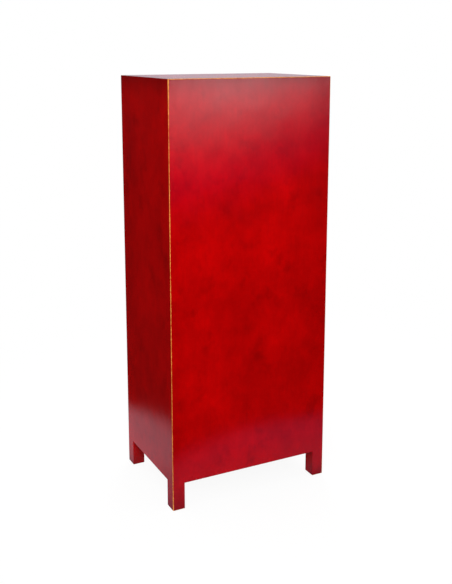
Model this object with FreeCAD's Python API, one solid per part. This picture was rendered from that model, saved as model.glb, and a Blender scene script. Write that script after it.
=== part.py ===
import FreeCAD, Part
import math
import os

# A tall, narrow wedding cabinet in red lacquer: four corner posts that run down as legs,
# flush floating panels, two brass-hung doors over two drawers.
# Millimetres. +X is the right of someone who faces the doors, the doors face -Y, +Z is up.
# The origin is on the floor, under the middle of the cabinet with its brass fittings.

V = FreeCAD.Vector

# Case
case_width = 660.0
case_depth = 466.0
case_height = 1600.0
leg_height = 103.0              # floor to the underside of the rails and panels
post_width = 48.0               # along X
post_depth = 52.0               # along Y
edge_ease = 2.5                 # rounding of the outer edges, rubbed by use
foot_ease_share = 0.7           # bevel under a foot, as a share of edge_ease

# Frame members and joints
top_frame_height = 38.0
bottom_rail_height = 40.0
rail_thickness = 28.0
middle_rail_height = 34.0
tenon_length = 20.0
tenon_shoulder = 6.0            # step above and below a tenon
tenon_thickness_share = 0.34    # of the rail's thickness
mortise_relief = 1.0            # glue room past the end of a tenon
post_tenon_width = 16.0
post_tenon_length = 15.0

# Panels and boards
panel_thickness = 14.0
tongue_thickness = 6.0
tongue_length = 8.0
groove_relief = 1.0             # room for a floating panel to swell
bottom_board_thickness = 12.0
bottom_board_lift = 7.0         # above the underside of the rails
shelf_thickness = 14.0
shelf_setback = 8.0             # behind the back of the doors
shelf_height_shares = (0.34, 0.67)
cleat_width = 20.0
cleat_height = 18.0

# Apron between the front legs
apron_height = 20.0
apron_thickness = 16.0
apron_setback = 6.0
bracket_length = 52.0
bracket_drop = 30.0
bracket_toe = 8.0               # flat underneath, beside the leg
bracket_tip = 4.0               # height left at the thin end

# Doors
door_thickness = 24.0
door_stile_width = 52.0
door_rail_height = 62.0
door_tenon_length = 26.0
door_panel_thickness = 13.0
door_rebate = 6.0               # how far the frame laps over the doors' top and bottom
door_stop_gap = 0.5
hinge_gap = 2.0                 # between a door and its post
meeting_gap = 3.0               # between the two doors
door_end_gap = 2.0              # above and below a door
door_edge_bevel = 1.5           # also of the drawer fronts

# Hinges
hinge_height = 66.0
hinge_leaf_width = 34.0
hinge_leaf_thickness = 2.0
hinge_leaf_corner = 7.0
hinge_barrel_radius = 5.0
hinge_pin_radius = 2.0
hinge_pin_play = 0.05
hinge_play = 0.4                # between knuckles, and round a turning barrel
hinge_pin_rise = 1.5            # above the barrel
hinge_height_shares = (0.13, 0.87)

# Round face plate, in two halves
face_plate_radius = 84.0
face_plate_thickness = 1.6
face_plate_rim_width = 5.0
face_plate_rim_height = 1.2
face_plate_height_share = 0.47  # of the door's height

# Eyes and pulls
eye_radius = 5.5                # to the middle of the wire
eye_wire_radius = 1.5
eye_shank_length = 19.0
lock_eye_offset = 9.0           # from the middle of the cabinet
pull_eye_offset = 34.0
pull_thickness = 2.4
pull_hole_radius = 2.4
pull_length = 32.0              # from the middle of its head to the middle of its bulb
pull_head_radius = 5.0
pull_bulb_radius = 13.0
link_play = 0.5                 # between a hanging link and its eye
wire_flats = 8                  # hammered wire, not quite round
eye_bends = 12
ring_bends = 20

# Drawers
drawer_opening_height = 130.0
divider_width = 24.0
drawer_side_play = 1.5
drawer_top_play = 1.5
drawer_bottom_play = 0.5
drawer_back_play = 1.0
drawer_front_thickness = 20.0
drawer_side_thickness = 10.0
drawer_back_thickness = 10.0
drawer_bottom_thickness = 6.0
drawer_bottom_lift = 7.0
drawer_side_drop = 12.0         # sides and back stand this much lower than the front
drawer_groove_depth = 4.0
tail_count = 3
tail_lap = 6.0                  # wood left in front of the dovetails
tail_width_share = 0.62         # of one pitch, at the tail's wide end
tail_slope_share = 0.16         # narrowing on each flank, of the tail's length
runner_bearing_width = 12.0
runner_guide_height = 16.0
drawer_plate_radius = 25.0
ring_radius = 18.0
ring_wire_radius = 1.9

overrun = 5.0                   # how far cuts run past the wood
tolerance = 0.001               # two places nearer than this are one

# Places worked out from the sizes above
half_width = case_width / 2
half_opening = half_width - post_width
front_projection = face_plate_thickness + 2 * (eye_radius + eye_wire_radius)
case_shift = front_projection / 2
front_face = case_shift - case_depth / 2
back_face = case_shift + case_depth / 2
front_post_back = front_face + post_depth
back_post_front = back_face - post_depth
panel_inner_x = half_width - panel_thickness
panel_inner_y = back_face - panel_thickness
rail_top = leg_height + bottom_rail_height
middle_rail_bottom = rail_top + drawer_opening_height
middle_rail_top = middle_rail_bottom + middle_rail_height
head = case_height - top_frame_height
board_top = leg_height + bottom_board_lift + bottom_board_thickness
door_bottom = middle_rail_top - door_rebate + door_end_gap
door_top = head + door_rebate - door_end_gap
door_height = door_top - door_bottom
door_outer = half_opening - hinge_gap
door_inner = meeting_gap / 2
plate_height = door_bottom + face_plate_height_share * door_height
hinge_axis_x = half_opening - hinge_gap / 2
hinge_axis_y = front_face - hinge_barrel_radius
eye_axis_y = front_face - face_plate_thickness - eye_radius - eye_wire_radius
drawer_low = rail_top + drawer_bottom_play
drawer_high = middle_rail_bottom - drawer_top_play
drawer_inner = divider_width / 2 + drawer_side_play
drawer_outer = half_opening - drawer_side_play
drawer_end = panel_inner_y - drawer_back_play
drawer_middle = (drawer_inner + drawer_outer) / 2
drawer_plate_height = (drawer_low + drawer_high) / 2
drawer_eye_height = drawer_plate_height + ring_radius / 2
side_high = drawer_high - drawer_side_drop
tail_root_y = front_face + drawer_front_thickness
tail_end_y = front_face + tail_lap


def room(x_low, x_high, y_low, y_high, z_low, z_high):
    """A space with square corners, as its lowest and highest point."""
    return V(x_low, y_low, z_low), V(x_high, y_high, z_high)


def grown(space, x, y, z):
    """The space made larger (or, below zero, smaller) at both ends of each direction."""
    low, high = space
    step = V(x, y, z)
    return low - step, high + step


def block(space):
    """The solid that fills a space."""
    low, high = space
    size = high - low
    return Part.makeBox(size.x, size.y, size.z, low)


def fused(solids):
    """The solids as one piece, with no seams left in flat faces."""
    whole = solids[0].fuse(solids[1:])
    return whole.removeSplitter()


def mirrored(shape):
    """The same piece on the other side of the cabinet."""
    return shape.mirror(V(0, 0, 0), V(1, 0, 0))


def edges_where(shape, test):
    """The edges whose middle, and whose run from end to end, pass the test."""
    chosen = []
    for edge in shape.Edges:
        start = edge.Vertexes[0].Point
        end = edge.Vertexes[-1].Point
        middle = (start + end) / 2
        if test(middle, end - start):
            chosen.append(edge)
    return chosen


def same(a, b):
    """True where two places are one and the same."""
    return abs(a - b) < tolerance


# Spaces of the frame members

front_post_space = room(half_opening, half_width, front_face, front_post_back, 0, head)
back_post_space = room(half_opening, half_width, back_post_front, back_face, 0, head)
side_rail_space = room(
    half_width - rail_thickness, half_width, front_post_back, back_post_front, leg_height, rail_top)
back_rail_space = room(
    -half_opening, half_opening, back_face - rail_thickness, back_face, leg_height, rail_top)
front_rail_space = room(
    -half_opening, half_opening, front_face, front_face + rail_thickness, leg_height, rail_top)
middle_rail_space = room(
    -half_opening, half_opening, front_face, front_post_back, middle_rail_bottom, middle_rail_top)
divider_space = room(
    -divider_width / 2, divider_width / 2, front_face, front_face + rail_thickness,
    rail_top, middle_rail_bottom)
side_panel_space = room(panel_inner_x, half_width, front_post_back, back_post_front, rail_top, head)
back_panel_space = room(-half_opening, half_opening, panel_inner_y, back_face, rail_top, head)
top_panel_space = room(
    -half_opening, half_opening, front_post_back, back_post_front,
    case_height - panel_thickness, case_height)


def tenon(space, along, length):
    """A rail's tenons: longer than the rail, thinner and lower."""
    low, high = space
    size = high - low
    cheek_share = (1 - tenon_thickness_share) / 2
    if along == "x":
        return block(grown(space, length, -cheek_share * size.y, -tenon_shoulder))
    if along == "y":
        return block(grown(space, -cheek_share * size.x, length, -tenon_shoulder))
    return block(grown(space, -cheek_share * size.x, -cheek_share * size.y, length))


def tenoned(space, along, length):
    """A rail with a tenon at each end."""
    return fused([block(space), tenon(space, along, length)])


def mortise(space, along, length):
    """The room that a rail's tenons need in what they enter."""
    return tenon(space, along, length + mortise_relief)


def tongue(space, thin, out, reach):
    """A panel's tongues: thinner than the panel, and longer in one direction."""
    low, high = space
    size = high - low
    grow = {"x": 0, "y": 0, "z": 0}
    grow[thin] = (tongue_thickness - getattr(size, thin)) / 2
    grow[out] = reach
    return block(grown(space, grow["x"], grow["y"], grow["z"]))


def tongued(space, thin, outs):
    """A floating panel with tongues in the named directions."""
    parts = [block(space)]
    for out in outs:
        parts.append(tongue(space, thin, out, tongue_length))
    return fused(parts)


def groove(space, thin, out):
    """The groove for a panel's tongues, a little deeper than they are long."""
    return tongue(space, thin, out, tongue_length + groove_relief)


# Case

def outer_form():
    """The whole case as one rounded block, from which the flush outer members are cut."""
    form = block(room(-half_width, half_width, front_face, back_face, 0, case_height))
    outer = edges_where(
        form,
        lambda middle, run: same(middle.z, case_height) or same(abs(run.z), case_height))
    return form.makeFillet(edge_ease, outer)


def post(space, form, cuts):
    """A corner post on the right side: rounded outside, bevelled underneath, tenon on top."""
    low, high = space
    body = block(space).common(form)
    underside = edges_where(body, lambda middle, run: same(middle.z, 0))
    body = body.makeChamfer(foot_ease_share * edge_ease, underside)
    centre = (low + high) / 2
    half_tenon = post_tenon_width / 2
    top_tenon = block(room(
        centre.x - half_tenon, centre.x + half_tenon, centre.y - half_tenon, centre.y + half_tenon,
        head, head + post_tenon_length))
    return body.cut(cuts).fuse(top_tenon).removeSplitter()


def front_post(form):
    """Front right post, which carries the side, the front rails and the hinges."""
    cuts = [
        mortise(side_rail_space, "y", tenon_length),
        mortise(front_rail_space, "x", tenon_length),
        mortise(middle_rail_space, "x", tenon_length),
        groove(side_panel_space, "x", "y"),
    ]
    return post(front_post_space, form, cuts)


def back_post(form):
    """Back right post, which carries the side and the back."""
    cuts = [
        mortise(side_rail_space, "y", tenon_length),
        mortise(back_rail_space, "x", tenon_length),
        groove(side_panel_space, "x", "y"),
        groove(back_panel_space, "y", "x"),
    ]
    return post(back_post_space, form, cuts)


def prism(points, z_low, z_high):
    """An upright solid over an outline of X and Y places."""
    corners = [V(x, y, z_low) for x, y in points]
    outline = Part.makePolygon(corners + corners[:1])
    return Part.Face(outline).extrude(V(0, 0, z_high - z_low))


def post_tenon_rooms():
    """The sockets of the four post tops in the top frame."""
    rooms = []
    for space in (front_post_space, back_post_space):
        low, high = space
        centre = (low + high) / 2
        half_tenon = post_tenon_width / 2
        socket = block(room(
            centre.x - half_tenon, centre.x + half_tenon,
            centre.y - half_tenon, centre.y + half_tenon,
            head, head + post_tenon_length + mortise_relief))
        rooms += [socket, mirrored(socket)]
    return rooms


def top_frame_member(points, form, cuts):
    """One mitred member of the top frame, cut from the rounded form."""
    member = prism(points, head, case_height).common(form)
    return member.cut(cuts + post_tenon_rooms())


def top_frame_right(form):
    """Right member of the top frame, over the side panel."""
    points = [
        (half_width, front_face), (half_width, back_face),
        (half_opening, back_post_front), (half_opening, front_post_back)]
    cuts = [groove(side_panel_space, "x", "z"), groove(top_panel_space, "z", "x")]
    return top_frame_member(points, form, cuts)


def top_frame_back(form):
    """Back member of the top frame, over the back panel."""
    points = [
        (half_width, back_face), (-half_width, back_face),
        (-half_opening, back_post_front), (half_opening, back_post_front)]
    cuts = [groove(back_panel_space, "y", "z"), groove(top_panel_space, "z", "y")]
    return top_frame_member(points, form, cuts)


def top_frame_front(form):
    """Front member of the top frame, rebated underneath for the doors."""
    points = [
        (-half_width, front_face), (half_width, front_face),
        (half_opening, front_post_back), (-half_opening, front_post_back)]
    rebate = block(room(
        -half_opening, half_opening, front_face - overrun, front_face + door_thickness + door_stop_gap,
        head - overrun, head + door_rebate))
    return top_frame_member(points, form, [groove(top_panel_space, "z", "y"), rebate])


def eased_rail(rail, test):
    """A rail with its outer lower edge rubbed round."""
    return rail.makeFillet(edge_ease, edges_where(rail, test))


def side_rail():
    """Right bottom rail, under the side panel."""
    rail = tenoned(side_rail_space, "y", tenon_length)
    rail = eased_rail(rail, lambda middle, run: same(middle.z, leg_height) and same(middle.x, half_width))
    return rail.cut([groove(side_panel_space, "x", "z"), bottom_board_grooves()])


def back_rail():
    """Bottom rail under the back panel."""
    rail = tenoned(back_rail_space, "x", tenon_length)
    rail = eased_rail(rail, lambda middle, run: same(middle.z, leg_height) and same(middle.y, back_face))
    return rail.cut([groove(back_panel_space, "y", "z"), bottom_board_grooves()])


def front_rail():
    """Bottom rail under the drawers, which the divider stands on."""
    rail = tenoned(front_rail_space, "x", tenon_length)
    rail = eased_rail(rail, lambda middle, run: same(middle.z, leg_height) and same(middle.y, front_face))
    return rail.cut([mortise(divider_space, "z", tenon_shoulder), bottom_board_grooves()])


def middle_rail():
    """Rail between the drawers and the doors, rebated on top for the doors."""
    rail = tenoned(middle_rail_space, "x", tenon_length)
    rebate = block(room(
        -half_opening, half_opening, front_face - overrun, front_face + door_thickness + door_stop_gap,
        middle_rail_top - door_rebate, middle_rail_top + overrun))
    return rail.cut([
        rebate,
        mortise(divider_space, "z", tenon_shoulder),
        groove(floor_edge_space, "z", "y")])


def drawer_divider():
    """Short upright between the two drawers."""
    return tenoned(divider_space, "z", tenon_shoulder)


# Bottom board, shelves and runners

board_core_space = room(
    -half_width + rail_thickness, half_width - rail_thickness,
    front_face + rail_thickness, back_face - rail_thickness,
    leg_height + bottom_board_lift, board_top)
board_long_space = room(
    -half_opening, half_opening, front_face + rail_thickness, back_face - rail_thickness,
    leg_height + bottom_board_lift, board_top)
board_wide_space = room(
    -half_width + rail_thickness, half_width - rail_thickness, front_post_back, back_post_front,
    leg_height + bottom_board_lift, board_top)
floor_edge_space = room(
    -half_opening, half_opening, front_post_back, front_post_back + tongue_length + tongue_length,
    middle_rail_top - shelf_thickness, middle_rail_top)


def post_blocks():
    """The four corners that boards are notched round."""
    blocks = []
    for space in (front_post_space, back_post_space):
        corner = block(space)
        blocks += [corner, mirrored(corner)]
    return blocks


def bottom_board_grooves():
    """The grooves of the bottom board, on all four rails."""
    return groove(board_long_space, "z", "y").fuse(groove(board_wide_space, "z", "x"))


def bottom_board():
    """Board that closes the case underneath, tongued into the rails."""
    board = block(board_core_space).cut(post_blocks())
    return fused([
        board,
        tongue(board_long_space, "z", "y", tongue_length),
        tongue(board_wide_space, "z", "x", tongue_length)])


def notched_board(y_front, z_low):
    """A board from side to side, notched round the posts."""
    board = block(room(
        -panel_inner_x, panel_inner_x, y_front, panel_inner_y, z_low, z_low + shelf_thickness))
    return board.cut(post_blocks())


def compartment_floor():
    """Board over the drawers, tongued into the middle rail."""
    board = notched_board(front_post_back, middle_rail_top - shelf_thickness)
    return fused([board, tongue(floor_edge_space, "z", "y", tongue_length)])


def shelf_level(share):
    """Underside of a shelf, by its share of the room over the drawers."""
    return middle_rail_top + share * (head - middle_rail_top)


def shelf(share):
    """A loose shelf on its two cleats."""
    return notched_board(front_face + door_thickness + shelf_setback, shelf_level(share))


def shelf_cleats():
    """Strips on the side panels that carry the shelves and the floor over the drawers."""
    levels = [middle_rail_top - shelf_thickness]
    for share in shelf_height_shares:
        levels.append(shelf_level(share))
    cleats = []
    for level in levels:
        cleat = block(room(
            panel_inner_x - cleat_width, panel_inner_x, front_post_back, back_post_front,
            level - cleat_height, level))
        cleats += [cleat, mirrored(cleat)]
    return Part.makeCompound(cleats)


def side_runners():
    """The two outer runners, each with a guide beside its drawer."""
    bearing = block(room(
        half_opening - runner_bearing_width, half_width - rail_thickness,
        front_face + rail_thickness, back_face - rail_thickness, board_top, rail_top))
    guide = block(room(
        half_opening, panel_inner_x, front_post_back, back_post_front,
        rail_top, rail_top + runner_guide_height))
    runner = fused([bearing.cut(post_blocks()), guide])
    return Part.makeCompound([runner, mirrored(runner)])


def middle_runner():
    """The runner between the drawers, which both of them slide on."""
    half_divider = divider_width / 2
    half_base = half_divider + runner_bearing_width
    base = block(room(
        -half_base, half_base, front_face + rail_thickness, back_face - rail_thickness,
        board_top, rail_top))
    guide = block(room(
        -half_divider, half_divider, front_face + rail_thickness, back_face - rail_thickness,
        rail_top, rail_top + runner_guide_height))
    return fused([base, guide])


# Apron

apron_front = front_face + apron_setback
apron_bottom = leg_height - apron_height


def front_apron():
    """Straight apron under the front rail."""
    return block(room(
        -half_opening, half_opening, apron_front, apron_front + apron_thickness,
        apron_bottom, leg_height))


def apron_brackets():
    """The two curved brackets where the apron meets the legs."""
    root = V(half_opening, apron_front, apron_bottom)
    heel = V(half_opening, apron_front, apron_bottom - bracket_drop)
    toe = heel - V(bracket_toe, 0, 0)
    tip_top = root - V(bracket_length, 0, 0)
    tip = tip_top - V(0, 0, bracket_tip)
    chord = tip - toe
    slope = math.atan2(chord.z, -chord.x)
    bow = math.tan(slope / 2) / 2                   # makes the curve run level at the tip
    middle = toe + chord / 2 + V(chord.z, 0, -chord.x) * bow
    edges = [
        Part.LineSegment(root, heel),
        Part.LineSegment(heel, toe),
        Part.Arc(toe, middle, tip),
        Part.LineSegment(tip, tip_top),
        Part.LineSegment(tip_top, root),
    ]
    outline = Part.Wire([edge.toShape() for edge in edges])
    bracket = Part.Face(outline).extrude(V(0, apron_thickness, 0))
    return Part.makeCompound([bracket, mirrored(bracket)])


# Doors. All of them are drawn for the right door and mirrored for the left one.

door_back = front_face + door_thickness
hinge_stile_space = room(
    door_outer - door_stile_width, door_outer, front_face, door_back, door_bottom, door_top)
lock_stile_space = room(
    door_inner, door_inner + door_stile_width, front_face, door_back, door_bottom, door_top)
door_rail_inner = door_inner + door_stile_width
door_rail_outer = door_outer - door_stile_width
door_low_rail_space = room(
    door_rail_inner, door_rail_outer, front_face, door_back, door_bottom, door_bottom + door_rail_height)
door_high_rail_space = room(
    door_rail_inner, door_rail_outer, front_face, door_back, door_top - door_rail_height, door_top)
door_panel_space = room(
    door_rail_inner, door_rail_outer, front_face, front_face + door_panel_thickness,
    door_bottom + door_rail_height, door_top - door_rail_height)


def door_joint_rooms():
    """The mortises and grooves in a door's stiles."""
    return [
        mortise(door_low_rail_space, "x", door_tenon_length),
        mortise(door_high_rail_space, "x", door_tenon_length),
        groove(door_panel_space, "y", "x"),
    ]


def bevelled_leaf(space):
    """A frame or board of the front, with its outer front edges bevelled."""
    low, high = space
    body = block(space)
    rim = edges_where(
        body,
        lambda middle, run: same(middle.y, low.y))
    return body.makeChamfer(door_edge_bevel, rim)


def door_outline():
    """The closed door as one board, bevelled round the front, from which its members are cut."""
    return bevelled_leaf(room(door_inner, door_outer, front_face, door_back, door_bottom, door_top))


def hinge_stile():
    """Upright of the door that carries its hinges."""
    return block(hinge_stile_space).common(door_outline()).cut(door_joint_rooms())


def lock_stile():
    """Upright of the door at the middle of the cabinet, drilled for the eyes."""
    shanks = [eye_shank(lock_eye_offset, plate_height), eye_shank(pull_eye_offset, plate_height)]
    return block(lock_stile_space).common(door_outline()).cut(door_joint_rooms() + shanks)


def door_rails():
    """Top and bottom rail of the door."""
    panel_groove = groove(door_panel_space, "y", "z")
    rails = []
    for space in (door_low_rail_space, door_high_rail_space):
        rails.append(tenoned(space, "x", door_tenon_length).common(door_outline()).cut(panel_groove))
    return Part.makeCompound(rails)


def door_panel():
    """Panel of the door, flush with its frame in front."""
    return tongued(door_panel_space, "y", ("x", "z"))


# Hinges

def hinge_levels():
    """Middle heights of a door's hinges."""
    return [door_bottom + share * door_height for share in hinge_height_shares]


def leaf_start():
    """How far from the axis a leaf's flat has to stay, so that the other leaf's barrel turns clear."""
    swept = hinge_barrel_radius + hinge_play
    depth = hinge_barrel_radius - hinge_leaf_thickness
    return math.sqrt(swept ** 2 - depth ** 2)


def knuckle(z_low, z_high, direction):
    """One knuckle with the bridge to its leaf, which lies towards the given side."""
    height = z_high - z_low
    barrel = Part.makeCylinder(hinge_barrel_radius, height, V(hinge_axis_x, hinge_axis_y, z_low))
    reach = direction * (leaf_start() + hinge_leaf_thickness)
    bridge = block(room(
        min(hinge_axis_x, hinge_axis_x + reach), max(hinge_axis_x, hinge_axis_x + reach),
        front_face - hinge_leaf_thickness, front_face, z_low, z_high))
    return barrel.fuse(bridge)


def leaf(level, direction, z_low, z_high):
    """One leaf: a flat plate with two cut corners, and a knuckle bored for the pin."""
    near = hinge_axis_x + direction * leaf_start()
    far = hinge_axis_x + direction * hinge_leaf_width
    low = level - hinge_height / 2
    high = level + hinge_height / 2
    plate = block(room(
        min(near, far), max(near, far), front_face - hinge_leaf_thickness, front_face, low, high))
    corners = edges_where(
        plate, lambda middle, run: same(middle.x, far) and same(abs(run.y), hinge_leaf_thickness))
    plate = plate.makeChamfer(hinge_leaf_corner, corners)
    bore = Part.makeCylinder(
        hinge_pin_radius + hinge_pin_play, hinge_height + overrun + overrun,
        V(hinge_axis_x, hinge_axis_y, low - overrun))
    return fused([plate, knuckle(z_low, z_high, direction)]).cut(bore)


def post_leaves():
    """The leaves on both front posts, each with the lower knuckle."""
    leaves = []
    for level in hinge_levels():
        one = leaf(level, 1, level - hinge_height / 2, level - hinge_play / 2)
        leaves += [one, mirrored(one)]
    return Part.makeCompound(leaves)


def door_leaves():
    """The leaves on the door, each with the upper knuckle, so that the door lifts off."""
    leaves = []
    for level in hinge_levels():
        leaves.append(leaf(level, -1, level + hinge_play / 2, level + hinge_height / 2))
    return Part.makeCompound(leaves)


def hinge_pins():
    """The hinge pins of both doors, fixed in the lower knuckles and standing proud of the upper ones."""
    pins = []
    for level in hinge_levels():
        pin = Part.makeCylinder(
            hinge_pin_radius, hinge_height + hinge_pin_rise,
            V(hinge_axis_x, hinge_axis_y, level - hinge_height / 2))
        pins += [pin, mirrored(pin)]
    return Part.makeCompound(pins)


# Brass plates, eyes and pulls

def round_plate():
    """The whole face plate: a disc with a raised rim, turned about an axis that points out of the front."""
    rim_start = face_plate_radius - face_plate_rim_width
    rim_face = face_plate_thickness + face_plate_rim_height
    profile = [
        V(0, 0, 0), V(face_plate_radius, 0, 0), V(face_plate_radius, 0, rim_face), V(rim_start, 0, rim_face),
        V(rim_start - face_plate_rim_height, 0, face_plate_thickness), V(0, 0, face_plate_thickness)]
    face = Part.Face(Part.makePolygon(profile + profile[:1]))
    plate = face.revolve(V(0, 0, 0), V(0, 0, 1), 360)
    plate.rotate(V(0, 0, 0), V(1, 0, 0), 90)
    plate.translate(V(0, front_face, plate_height))
    return plate


def face_plate():
    """The right half of the round plate over both doors."""
    reach = face_plate_radius + overrun
    half = block(room(
        door_inner, reach, front_face - front_projection, front_face,
        plate_height - reach, plate_height + reach))
    shanks = [eye_shank(lock_eye_offset, plate_height), eye_shank(pull_eye_offset, plate_height)]
    return round_plate().common(half).cut(shanks)


def wire_corners(wire_radius):
    """The corners of a flattened wire, as steps outward from its middle and along its ring's axis."""
    corner_radius = wire_radius / math.cos(math.pi / wire_flats)
    corners = []
    for number in range(wire_flats):
        angle = (number + 1 / 2) * 2 * math.pi / wire_flats
        corners.append((corner_radius * math.cos(angle), corner_radius * math.sin(angle)))
    return corners


def wire_ring(radius, wire_radius, bends, centre, axis, start):
    """A ring bent from flattened wire. The start direction is that of its first bend."""
    across = axis.cross(start)
    sections = []
    for bend in range(bends):
        angle = bend * 2 * math.pi / bends
        outward = start * math.cos(angle) + across * math.sin(angle)
        sections.append([
            centre + outward * (radius + step) + axis * rise
            for step, rise in wire_corners(wire_radius)])
    faces = []
    for bend in range(bends):
        here = sections[bend]
        there = sections[(bend + 1) % bends]
        for corner in range(wire_flats):
            following = (corner + 1) % wire_flats
            points = [here[corner], here[following], there[following], there[corner], here[corner]]
            faces.append(Part.Face(Part.makePolygon(points)))
    return Part.Solid(Part.Shell(faces))


def eye_shank(x, z):
    """The straight shank of an eye, through its plate and into the wood."""
    start_y = eye_axis_y + eye_radius
    corners = [V(x + step, start_y, z + rise) for step, rise in wire_corners(eye_wire_radius)]
    outline = Part.makePolygon(corners + corners[:1])
    return Part.Face(outline).extrude(V(0, eye_shank_length, 0))


def eye(x, z):
    """A ring of wire on a shank, which stands out of its plate."""
    loop = wire_ring(eye_radius, eye_wire_radius, eye_bends, V(x, eye_axis_y, z), V(1, 0, 0), V(0, 1, 0))
    return loop.fuse(eye_shank(x, z))


def door_eyes():
    """The eye for the padlock and the eye for the pull."""
    return Part.makeCompound([
        eye(lock_eye_offset, plate_height),
        eye(pull_eye_offset, plate_height)])


def disc(radius, x, z):
    """A flat round of the pull, as thick as the pull and centred on the eyes' plane."""
    start = V(x, eye_axis_y - pull_thickness / 2, z)
    return Part.makeCylinder(radius, pull_thickness, start, V(0, 1, 0))


def pull_flanks(head_z, bulb_z):
    """The tapered middle of the pull, whose flanks touch both its rounds."""
    lean = math.asin((pull_bulb_radius - pull_head_radius) / pull_length)
    corners = []
    for side, z, radius in (
            (-1, head_z, pull_head_radius), (1, head_z, pull_head_radius),
            (1, bulb_z, pull_bulb_radius), (-1, bulb_z, pull_bulb_radius)):
        corners.append(V(
            pull_eye_offset + side * radius * math.cos(lean),
            eye_axis_y - pull_thickness / 2,
            z + radius * math.sin(lean)))
    outline = Part.makePolygon(corners + corners[:1])
    return Part.Face(outline).extrude(V(0, pull_thickness, 0))


def door_pull():
    """A flat drop that hangs from its eye by a hole."""
    wire_top = plate_height - eye_radius + eye_wire_radius
    head_z = wire_top + link_play - pull_hole_radius
    bulb_z = head_z - pull_length
    body = fused([
        disc(pull_head_radius, pull_eye_offset, head_z),
        pull_flanks(head_z, bulb_z),
        disc(pull_bulb_radius, pull_eye_offset, bulb_z)])
    return body.cut(disc(pull_hole_radius, pull_eye_offset, head_z))


# Drawers, drawn for the right one and mirrored for the left one

drawer_side_outer_space = room(
    drawer_outer - drawer_side_thickness, drawer_outer, tail_root_y, drawer_end, drawer_low, side_high)
drawer_side_inner_space = room(
    drawer_inner, drawer_inner + drawer_side_thickness, tail_root_y, drawer_end, drawer_low, side_high)
drawer_inside_low = drawer_inner + drawer_side_thickness
drawer_inside_high = drawer_outer - drawer_side_thickness
drawer_bottom_low = drawer_low + drawer_bottom_lift
drawer_bottom_top = drawer_bottom_low + drawer_bottom_thickness
drawer_bottom_space = room(
    drawer_inside_low - drawer_groove_depth, drawer_inside_high + drawer_groove_depth,
    tail_root_y - drawer_groove_depth, drawer_end, drawer_bottom_low, drawer_bottom_top)
drawer_back_space = room(
    drawer_inside_low - drawer_groove_depth, drawer_inside_high + drawer_groove_depth,
    drawer_end - drawer_back_thickness - drawer_groove_depth, drawer_end - drawer_groove_depth,
    drawer_bottom_top, side_high)


def tails(x_low):
    """The dovetails of one drawer side, widening towards the front of the drawer."""
    length = tail_root_y - tail_end_y
    pitch = (side_high - drawer_low) / tail_count
    wide = tail_width_share * pitch / 2
    narrow = wide - tail_slope_share * length
    shapes = []
    for number in range(tail_count):
        z = drawer_low + (number + 1 / 2) * pitch
        corners = [
            V(x_low, tail_root_y, z - narrow), V(x_low, tail_end_y, z - wide),
            V(x_low, tail_end_y, z + wide), V(x_low, tail_root_y, z + narrow)]
        outline = Part.makePolygon(corners + corners[:1])
        shapes.append(Part.Face(outline).extrude(V(drawer_side_thickness, 0, 0)))
    return shapes


def drawer_front():
    """Drawer front with the sockets of the dovetails and the groove for the bottom."""
    board = bevelled_leaf(room(
        drawer_inner, drawer_outer, front_face, tail_root_y, drawer_low, drawer_high))
    shank = eye_shank(drawer_middle, drawer_eye_height)
    sockets = tails(drawer_inner) + tails(drawer_outer - drawer_side_thickness)
    return board.cut(sockets + [block(drawer_bottom_space), shank])


def drawer_sides():
    """Both sides of the drawer, with their dovetails."""
    sides = []
    for space in (drawer_side_inner_space, drawer_side_outer_space):
        board = fused([block(space)] + tails(space[0].x))
        sides.append(board.cut([block(drawer_bottom_space), block(drawer_back_space)]))
    return Part.makeCompound(sides)


def drawer_back():
    """Back of the drawer, housed in the sides and standing on the bottom."""
    return block(drawer_back_space)


def drawer_bottom():
    """Thin bottom, slid into its grooves from behind."""
    return block(drawer_bottom_space)


def drawer_plate():
    """Small flat disc behind the drawer's ring."""
    centre = V(drawer_middle, front_face, drawer_plate_height)
    plate = Part.makeCylinder(drawer_plate_radius, face_plate_thickness, centre, V(0, -1, 0))
    return plate.cut(eye_shank(drawer_middle, drawer_eye_height))


def drawer_eye():
    """Eye that the drawer's ring hangs in."""
    return eye(drawer_middle, drawer_eye_height)


def drawer_ring():
    """Ring pull, its wire lying in the bottom of the eye."""
    wire_z = drawer_eye_height - eye_radius + eye_wire_radius + ring_wire_radius + link_play
    centre = V(drawer_middle, eye_axis_y, wire_z - ring_radius)
    return wire_ring(ring_radius, ring_wire_radius, ring_bends, centre, V(0, 1, 0), V(0, 0, 1))


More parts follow.
